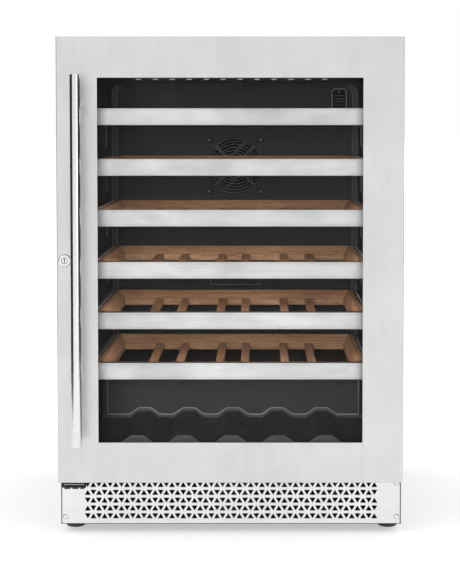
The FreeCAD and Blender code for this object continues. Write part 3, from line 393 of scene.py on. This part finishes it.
# The nodes that don't wear their slot's usual material.
OWN_MATERIAL = {
    "toe_kick_grille": LEVEL_STEEL,
    "handle_bar": HANDLE_STEEL,
    "duct_cover": DUCT_PLASTIC,
    "fan_guard": GUARD_PLASTIC,
    "glass_surround": SEAL,
    # The sensor cover is near black: painted shade.
    "sensor_cover": SHADOW_PLASTIC,
    # Both coils are near black: painted shade.
    "evaporator_coil": SHADED_FINS,
    "condenser_coil": SHADED_FINS,
    # The base pan is dark so the toe kick's holes show painted shade.
    "base_pan": GUARD_PLASTIC,
    "hinge_brackets": CREST_PLASTIC,
    # The evaporator fan's rotor and frame are near black: painted shade.
    "evaporator_fan_rotor": SHADOW_PLASTIC,
    "evaporator_fan_frame": SHADOW_PLASTIC,
}
# The trims wear the lighter stainless with bright ends: painted highlight.
OWN_MATERIAL.update({f"rack_{i}_trim": TRIM_STEEL for i in RACKS})
OWN_MATERIAL.update({name: CREST_PLASTIC for name in NODES if name.startswith("foot_")})


def dress_nodes():
    """Gives every CAD node the material of its slot, or the one that OWN_MATERIAL names for it."""
    for part in frame["record"]["subparts"]:
        name = part["node"]
        material = OWN_MATERIAL.get(name, MATERIALS[part["material_slot"]])
        NODES[name].data.materials.clear()
        NODES[name].data.materials.append(material)


def add_piece(name, mesh, body, slot, material=None):
    piece = bpy.data.objects.new(name, mesh)
    bpy.context.scene.collection.objects.link(piece)
    mesh.materials.append(material or MATERIALS[slot])
    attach(piece, body)
    PIECES[name] = piece
    return piece


def lathe(mesh, profile, place, axis, segments=24, sides=None):
    """Adds a turned shape to mesh. profile is (radius, height) pairs along axis from place.
    A radius in sides is that of a polygon with so many sides, as in a hexagon socket."""
    turn = Vector((0, 0, 1)).rotation_difference(Vector(axis)).to_matrix()
    rings = []
    for index, (radius, height) in enumerate(profile):
        ring = []
        for k in range(segments):
            angle = 2 * math.pi * k / segments
            r = radius
            if sides and index in sides:
                part = 2 * math.pi / sides[index]
                r = radius * math.cos(part / 2) / math.cos(angle % part - part / 2)
            point = Vector((r * math.cos(angle), r * math.sin(angle), height))
            ring.append(mesh.verts.new(Vector(place) + turn @ point))
        rings.append(ring)
    for low, high in zip(rings, rings[1:]):
        for k in range(segments):
            mesh.faces.new((low[k], low[(k + 1) % segments], high[(k + 1) % segments], high[k]))
    mesh.faces.new(list(reversed(rings[0])))
    mesh.faces.new(rings[-1])


def finished_mesh(mesh, name, smooth_angle=35):
    bmesh.ops.recalc_face_normals(mesh, faces=mesh.faces)
    data = bpy.data.meshes.new(name)
    mesh.to_mesh(data)
    mesh.free()
    data.shade_smooth()
    data.set_sharp_from_angle(angle=math.radians(smooth_angle))
    return data


def screws(name, places, axis, radius, body, height=None, material=None):
    """Button-head screws with a hexagon socket, at these places and facing along axis."""
    tall = height or radius * 0.5
    profile = [(radius, 0), (radius, tall * 0.35), (radius * 0.86, tall * 0.8), (radius * 0.62, tall),
               (radius * 0.5, tall), (radius * 0.46, tall * 0.25)]
    mesh = bmesh.new()
    for place in places:
        lathe(mesh, profile, place, axis, sides={4: 6, 5: 6})
    return add_piece(name, finished_mesh(mesh, name), body, "polished_steel", material or SCREW_STEEL)


def bead(name, lines, radius, body, slot, material=None):
    """Round beads along these lines of points, as one piece."""
    curve = bpy.data.curves.new(name, "CURVE")
    curve.dimensions = "3D"
    curve.bevel_depth = radius
    curve.bevel_resolution = 3
    curve.use_fill_caps = True
    for points in lines:
        line = curve.splines.new("POLY")
        line.points.add(len(points) - 1)
        for target, point in zip(line.points, points):
            target.co = (*point, 1.0)
    curve.materials.append(material or MATERIALS[slot])
    piece = bpy.data.objects.new(name, curve)
    bpy.context.scene.collection.objects.link(piece)
    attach(piece, body)
    PIECES[name] = piece
    return piece


def corner_path(points, radius, steps=5):
    """The same line of points with every inner corner rounded."""
    path = [Vector(points[0])]
    for before, corner, after in zip(points, points[1:], points[2:]):
        corner = Vector(corner)
        start = corner + (Vector(before) - corner).normalized() * radius
        end = corner + (Vector(after) - corner).normalized() * radius
        for i in range(steps + 1):
            t = i / steps
            path.append(start.lerp(corner, t).lerp(corner.lerp(end, t), t))
    return path + [Vector(points[-1])]


def ridge(corners):
    """The highest point at each sideways place, as (x, z) pairs from left to right."""
    highest = {}
    for corner in corners:
        key = round(corner.x, 5)
        highest[key] = max(highest.get(key, 0.0), corner.z)
    return sorted(highest.items())


def liner_details():
    """Ribs on the liner's side walls, the rolled rim along the step and the tray's lips, painted lighter as
    painted highlights, and the tray's crests, whose fronts are painted lighter as a painted highlight.
    """
    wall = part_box("duct_cover")[1].x
    ribs = []
    for side in (-1, 1):
        for i in RACKS[:-1]:
            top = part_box(f"rack_{i}_runners")[0].z - SIDE_RIB_GAP
            ribs.append([(side * wall, SIDE_RIB_DEPTH, top),
                         (side * wall, SIDE_RIB_DEPTH, top - SIDE_RIB_LENGTH)])
    # The ribs are pale moulding: painted highlights.
    bead("liner_side_ribs", ribs, 0.0022, "cabinet", "liner_plastic", RIM_HIGHLIGHT_PLASTIC)
    tray = [vertex.co for vertex in NODES["bottle_tray"].data.vertices]
    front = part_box("bottle_tray")[0].y
    back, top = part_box("bottle_tray")[1].yz
    rear = ridge(co for co in tray if co.y > back - 0.0005 and abs(co.x) < TRAY_HALF)
    depth = back - 0.0015
    lip = [(x, depth, z + 0.0005) for x, z in rear]
    line = [(-STEP_EDGE, depth, top), (-STEP_EDGE, depth, lip[0][2])] + lip
    line += [(STEP_EDGE, depth, lip[-1][2]), (STEP_EDGE, depth, top)]
    # The rim is near white: a painted highlight.
    bead("step_rim", [line], 0.0011, "cabinet", "tray_plastic", LIP_HIGHLIGHT_PLASTIC)
    lip = [(x, front + 0.001, z) for x, z in ridge(co for co in tray if co.y < front + 0.0005)]
    # The front lip is pale: a painted highlight.
    bead("tray_front_lip", [lip], 0.0011, "cabinet", "tray_plastic", RIM_HIGHLIGHT_PLASTIC)
    # Plates on the crests' fronts, lighter than the tray: a painted highlight.
    mesh = bmesh.new()
    for foot_left, left, right, foot_right in zip(lip[1::4], lip[2::4], lip[3::4], lip[4::4]):
        outline = [(x, z - 0.0012) for x, _, z in (foot_left, left, right, foot_right)]
        faces = [[mesh.verts.new((x, front - out, z)) for x, z in outline] for out in (0.0007, 0.0)]
        mesh.faces.new(faces[0])
        mesh.faces.new(faces[1])
        for k in range(4):
            n = (k + 1) % 4
            mesh.faces.new((faces[0][k], faces[0][n], faces[1][n], faces[1][k]))
    bmesh.ops.bevel(mesh, geom=mesh.edges, offset=0.0002, segments=2, affect="EDGES", clamp_overlap=True)
    crests = finished_mesh(mesh, "tray_front_crests")
    add_piece("tray_front_crests", crests, "cabinet", "tray_plastic", CREST_PLASTIC)


def slide_details():
    """The row of rivets and the bright rolled edge on top of each slide's fixed channel."""
    dome = [(0.0012, 0.0), (0.0010, 0.0006), (0.0005, 0.0010)]
    mesh = bmesh.new()
    edges = []
    for i in RACKS:
        low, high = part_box(f"rack_{i}_runners")
        top = high.z + 0.003
        for side in (-1, 1):
            for k in range(RIVET_COUNT):
                place = (side * (GUIDE_INNER + 0.0022), low.y + RIVET_START + k * RIVET_PITCH, top)
                lathe(mesh, dome, place, (0, 0, 1), 8)
            edges.append([(side * GUIDE_INNER, low.y + 0.002, top), (side * GUIDE_INNER, high.y, top)])
    rivets = finished_mesh(mesh, "rack_guide_rivets")
    add_piece("rack_guide_rivets", rivets, "cabinet", "polished_steel", RIVET)
    bead("rack_guide_edges", edges, 0.0004, "cabinet", "polished_steel", RIVET)


def wood_details():
    """The grooved strip under the bevel of each rack's rear rail, in a darker copy of the beech: painted
    shade.
    """
    out, groove = MOULDING_OUT, 0.0004
    profile = ((0.0, 0.0142), (out, 0.0142), (out, 0.0150), (groove, 0.0154), (out, 0.0158),
               (out, 0.0184), (groove - 0.0001, 0.0188), (out, 0.0193), (out, 0.0262), (0.0, 0.0262))
    for i in RACKS:
        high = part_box(f"rack_{i}_wood")[1]
        face, half = high.y - END_RAIL - 0.0001, high.x - SIDE_RAIL - 0.0004
        mesh = bmesh.new()
        ends = [[mesh.verts.new((x, face - rise, high.z - drop)) for rise, drop in profile]
                for x in (-half, half)]
        for a, b in zip(range(len(profile)), list(range(1, len(profile))) + [0]):
            mesh.faces.new((ends[0][a], ends[1][a], ends[1][b], ends[0][b]))
        for ring in ends:
            mesh.faces.new(ring)
        name = f"rack_{i}_rear_painted_shade_moulding"
        # The strip is a darker copy of the beech: painted shade.
        add_piece(name, finished_mesh(mesh, name), f"rack_{i}", "beech", SHADED_BEECH)


def upright_ring(x, z, depth, radius, parts):
    """The points of a closed upright circle that faces the front."""
    angles = [2 * math.pi * k / parts for k in range(parts + 1)]
    return [(x + radius * math.cos(a), depth, z + radius * math.sin(a)) for a in angles]


def fan_details():
    """Screws in wells round the fan guard, each well ringed in near black as painted shade, the groove from
    the guard to each well drawn as a near-black line of painted shade, and a near-black disc of painted shade
    behind the fan.
    """
    low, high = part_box("fan_guard")
    middle = (low + high) / 2
    face = high.y - 0.0045
    corners = [(middle.x + sx * FAN_SCREW_HALF, middle.z + sz * FAN_SCREW_HALF)
               for sx in (-1, 1) for sz in (-1, 1)]
    screws("fan_guard_screws", [(x, face, z) for x, z in corners], (0, -1, 0), 0.0032, "cabinet", 0.0018,
           WELL_SCREW)
    rings = []
    grooves = []
    for x, z in corners:
        rings.append(upright_ring(x, z, face, 0.0045, 18))
        away = Vector((x - middle.x, 0, z - middle.z)).normalized()
        well = Vector((x, face, z))
        grooves.append([well - away * 0.0165, well - away * 0.0055])
    # Near-black rings in the wells and near-black groove lines: painted shade.
    bead("fan_well_rings", rings, 0.0013, "cabinet", "black_plastic", SHADOW_PLASTIC)
    bead("fan_guard_grooves", grooves, 0.0008, "cabinet", "black_plastic", SHADOW_PLASTIC)
    # A near-black disc behind the fan: painted shade.
    shade_disc = bmesh.new()
    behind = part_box("evaporator_fan_frame")[1].y + 0.0005
    lathe(shade_disc, [(0.056, 0), (0.056, 0.0012), (0.050, 0.0018), (0.020, 0.0018), (0.018, 0.0008)],
          (middle.x, behind, middle.z), (0, 1, 0), 48)
    shade_disc_mesh = finished_mesh(shade_disc, "fan_rear_shade_disc")
    add_piece("fan_rear_shade_disc", shade_disc_mesh, "cabinet", "black_plastic", SHADOW_PLASTIC)


def duct_details():
    """The fine raised lines that follow the duct cover's border and its bevelled top corners, painted lighter
    as painted highlights.
    """
    low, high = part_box("duct_cover")
    bottom, ceiling = low.z + 0.001, high.z
    lines = []
    for half, drop, depth in BORDER_LINES:
        top = ceiling - drop
        for side in (-1, 1):
            lines.append([(side * half, depth, bottom), (side * half, depth, top - BORDER_CUT),
                          (side * (half - BORDER_CUT), depth, top)])
    # The lines are lighter than the duct: painted highlights.
    bead("duct_border_lines", lines, 0.00045, "cabinet", "black_plastic", EDGE_HIGHLIGHT_PLASTIC)


def vent_details():
    """The raised edge round the vent plate under the fan, painted lighter as a painted highlight, and the
    joint round it, a near-black line of painted shade.
    """
    # The edge is lighter: a painted highlight; the joint is near black: painted shade.
    for name, grow, radius, material in (("vent_plate_edge_highlight", 0.0, 0.0006, EDGE_HIGHLIGHT_PLASTIC),
                                         ("vent_plate_joint_shade", 0.0014, 0.0008, SHADOW_PLASTIC)):
        half, bottom, top = VENT_HALF + grow, VENT_BOTTOM - grow, VENT_TOP + grow
        outline = ((-half, top), (-half, bottom), (half, bottom), (half, top))
        line = corner_path([(x, VENT_FACE, z) for x, z in outline], 0.006)
        bead(name, [line], radius, "cabinet", "black_plastic", material)


def kick_screw_joints():
    """The dark joint round each screw of the toe kick."""
    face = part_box("toe_kick_grille")[0].y
    rings = [upright_ring(x, z, face, 0.0042, 18) for x, z in KICK_SCREWS]
    bead("kick_screw_joints", rings, 0.0004, "cabinet", "black_rubber")


def sensor_details():
    """The raised rim, painted near white as a painted highlight, the louvres, painted lighter as painted
    highlights, and the screw of the sensor's cover.
    """
    low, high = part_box("sensor_cover")
    face = low.y
    left, right, top, foot = low.x + SENSOR_INSET, high.x - SENSOR_INSET, high.z - SENSOR_INSET, low.z + 0.002
    rim = corner_path([(left, face, foot), (left, face, top), (right, face, top), (right, face, foot)], 0.008)
    # The rim is near white: a painted highlight.
    bead("sensor_cover_rim", [rim], 0.0008, "cabinet", "black_plastic", LIP_HIGHLIGHT_PLASTIC)
    heights = [low.z + 0.008 + k * LOUVRE_PITCH for k in range(LOUVRE_COUNT)]
    louvres = [[(left + 0.004, face - 0.0002, z), (right - 0.004, face - 0.0002, z)] for z in heights]
    # The louvres are lighter: painted highlights.
    bead("sensor_cover_louvres", louvres, 0.0007, "cabinet", "black_plastic", RIM_HIGHLIGHT_PLASTIC)
    screws("sensor_cover_screw", [((left + right) / 2, face, high.z - 0.009)], (0, -1, 0), 0.0026, "cabinet",
           0.0014, WELL_SCREW)


def lock_details():
    """The dark joints round the lock's collar and its plug."""
    low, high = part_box("lock_barrel")
    middle = (low + high) / 2
    outer = (high.x - low.x) / 2
    collar = upright_ring(middle.x, middle.z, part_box("door_skin")[0].y, outer + 0.0002, 24)
    bead("lock_collar_joint", [collar], 0.0006, "door", "black_rubber")
    plug = upright_ring(middle.x, middle.z, low.y, outer * 0.56, 24)
    bead("lock_plug_joint", [plug], 0.0004, "door", "black_rubber")
    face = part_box("lock_plug")[0].y - 0.0001
    wards = (((-0.0001, -0.0030), (0.0001, 0.0030)), ((-0.0017, 0.0022), (0.0017, 0.0022)))
    marks = [[(middle.x + x, face, middle.z + z) for x, z in ward] for ward in wards]
    bead("lock_key_wards", marks, 0.0005, "lock", "black_rubber")


def notch_details():
    """The folded edge and the three tabs of the spare hinge plate in the toe kick's notch."""
    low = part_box("toe_kick_grille")[0]
    face = low.y + 0.0004
    edge = [(low.x + 0.004, face, NOTCH_EDGE_HEIGHT), (NOTCH_END, face, NOTCH_EDGE_HEIGHT)]
    bead("notch_plate_edge", [edge], 0.0006, "cabinet", "stainless", SCREW_STEEL)
    mesh = bmesh.new()
    for x0, x1 in NOTCH_TABS:
        place = Matrix.Translation(((x0 + x1) / 2, low.y - 0.0004, NOTCH_TAB_HEIGHT))
        bmesh.ops.create_cube(mesh, size=1.0, matrix=place @ Matrix.Diagonal((x1 - x0, 0.001, 0.0036, 1)))
    bmesh.ops.bevel(mesh, geom=mesh.edges, offset=0.0003, segments=2, affect="EDGES", clamp_overlap=True)
    add_piece("notch_tabs", finished_mesh(mesh, "notch_tabs"), "cabinet", "black_paint", CREST_PLASTIC)


def panel_screws():
    """Screws round the rear panel, hems and screws on the side panels, and ribs pressed in the top."""
    low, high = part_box("rear_panel")
    xs = [low.x + SCREW_INSET + k * (high.x - low.x - 2 * SCREW_INSET) / 4 for k in range(5)]
    zs = [low.z + SCREW_INSET + k * (high.z - low.z - 2 * SCREW_INSET) / 5 for k in range(6)]
    places = [(x, high.y - 0.0002, z) for x in xs for z in (zs[0], zs[-1])]
    places += [(x, high.y - 0.0002, z) for z in zs[1:-1] for x in (xs[0], xs[-1])]
    screws("rear_panel_screws", places, (0, 1, 0), 0.0036, "cabinet", 0.0018)
    low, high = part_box("cabinet_panels")
    hems = []
    for side, edge in ((-1, low.x), (1, high.x)):
        hems.append([(edge, high.y - 0.014, low.z + 0.004), (edge, high.y - 0.014, high.z - 0.004)])
        hems.append([(edge, low.y + 0.006, low.z + 0.012), (edge, high.y - 0.014, low.z + 0.012)])
        places = [(edge, low.y + 0.05 + k * 0.14, low.z + 0.022) for k in range(4)]
        places += [(edge, high.y - 0.024, z) for z in (0.25, 0.48, 0.71)]
        name = "side_screws_left" if side < 0 else "side_screws_right"
        screws(name, places, (side, 0, 0), 0.0036, "cabinet", 0.0016, WELL_SCREW)
    bead("side_hems", hems, 0.0006, "cabinet", "black_paint")
    depth = (low.y + high.y) / 2
    ribs = [[(-RIB_HALF, depth + step, high.z), (RIB_HALF, depth + step, high.z)] for step in RIB_STEPS]
    bead("top_stiffening_ribs", ribs, 0.0012, "cabinet", "black_paint")


def set_stage():
    """A wide pale floor."""
    mesh = bmesh.new()
    bmesh.ops.create_circle(mesh, cap_ends=True, segments=64, radius=FLOOR_RADIUS)
    floor = bpy.data.objects.new("floor", finished_mesh(mesh, "floor"))
    bpy.context.scene.collection.objects.link(floor)
    paint = Paint("pale_floor")
    speck = paint.noise(60.0, 4.0)
    colour = paint.mix(paint.spread(speck, 0.0, 1.0), grey(0.62), grey(0.66))
    floor.data.materials.append(paint.surface(Base_Color=colour, Roughness=0.9, Specular_IOR_Level=0.1,
                                              Emission_Color=WHITE, Emission_Strength=FLOOR_GLOW,
                                              Normal=paint.bump(speck, 0.00005)))


def set_flags():
    """Two dark cloth flags beside the object. Only reflections show them, as in a product studio."""
    mesh = bmesh.new()
    for side in (-1, 1):
        corners = ((-FLAG_FRONT, 0.0), (FLAG_BACK, 0.0), (FLAG_BACK, FLAG_HEIGHT), (-FLAG_FRONT, FLAG_HEIGHT))
        mesh.faces.new([mesh.verts.new((side * FLAG_AWAY, y, z)) for y, z in corners])
    flags = bpy.data.objects.new("flags", finished_mesh(mesh, "flags"))
    bpy.context.scene.collection.objects.link(flags)
    flags.data.materials.append(painted_sheet("flag_cloth", (0.01, 0.01, 0.01), 0.9))
    flags.visible_camera = False
    flags.visible_diffuse = False
    flags.visible_shadow = False


def soft_light(name, place, target, size, power, only=()):
    """An area light towards target. It lights everything, or only these objects."""
    light = bpy.data.lights.new(name, "AREA")
    light.shape = "RECTANGLE"
    light.size, light.size_y = size
    light.energy = power
    lamp = bpy.data.objects.new(name, light)
    lamp.location = place
    lamp.rotation_euler = (Vector(target) - Vector(place)).to_track_quat("-Z", "Y").to_euler()
    bpy.context.scene.collection.objects.link(lamp)
    if only:
        lit = bpy.data.collections.new(f"{name}_receivers")
        for item in only:
            lit.objects.link(item)
        lamp.light_linking.receiver_collection = lit


def set_light():
    """A white world, two soft studio lights, and lights that reach only the interior or the racks."""
    world = bpy.data.worlds.new("studio")
    world.use_nodes = True
    world.node_tree.nodes["Background"].inputs["Color"].default_value = WHITE
    world.node_tree.nodes["Background"].inputs["Strength"].default_value = 1.0
    bpy.context.scene.world = world
    soft_light("key", *KEY_LIGHT)
    soft_light("fill", *FILL_LIGHT)
    wood = [o for n, o in NODES.items() if n.endswith("_wood")]
    wood += [o for n, o in PIECES.items() if n.endswith("_moulding")]
    slides = [o for n, o in NODES.items() if n.endswith("_runners")] + [NODES["rack_guides"]]
    slides += [o for n, o in PIECES.items() if n.startswith("rack_guide_")]
    inside = [NODES[n] for n in ("inner_liner", "duct_cover", "fan_guard", "bottle_tray", "sensor_cover",
                                 "ceiling_console")]
    inside += [o for n, o in PIECES.items() if n.startswith(("liner_", "step_", "tray_", "duct_", "fan_",
                                                             "sensor_", "vent_"))]
    soft_light("window", *WINDOW_LIGHT, WINDOW_POWER, inside + slides)
    soft_light("window_wood", *WINDOW_LIGHT, WINDOW_WOOD_POWER, wood)
    for i in RACKS:
        low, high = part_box(f"rack_{i}_wood")
        place, target = (0, low.y + 0.035, high.z + 0.045), (0, high.y - 0.05, high.z - 0.012)
        soft_light(f"rack_light_{i}", place, target, RACK_LIGHT_SIZE, RACK_LIGHT_POWER, wood + slides)
    bpy.context.scene.view_settings.view_transform = "Standard"


def set_camera():
    data = bpy.data.cameras.new("camera")
    data.sensor_width = 36.0
    data.lens = CAMERA_LENS
    data.shift_x, data.shift_y = CAMERA_SHIFT
    data.dof.use_dof = False
    camera = bpy.data.objects.new("camera", data)
    camera.location = CAMERA_PLACE
    camera.rotation_euler = (math.radians(90 - CAMERA_PITCH), 0, 0)
    bpy.context.scene.collection.objects.link(camera)
    bpy.context.scene.camera = camera


dress_nodes()
liner_details()
slide_details()
fan_details()
duct_details()
sensor_details()
vent_details()
wood_details()
kick_screw_joints()
lock_details()
notch_details()
panel_screws()
set_stage()
set_flags()
set_light()
set_camera()
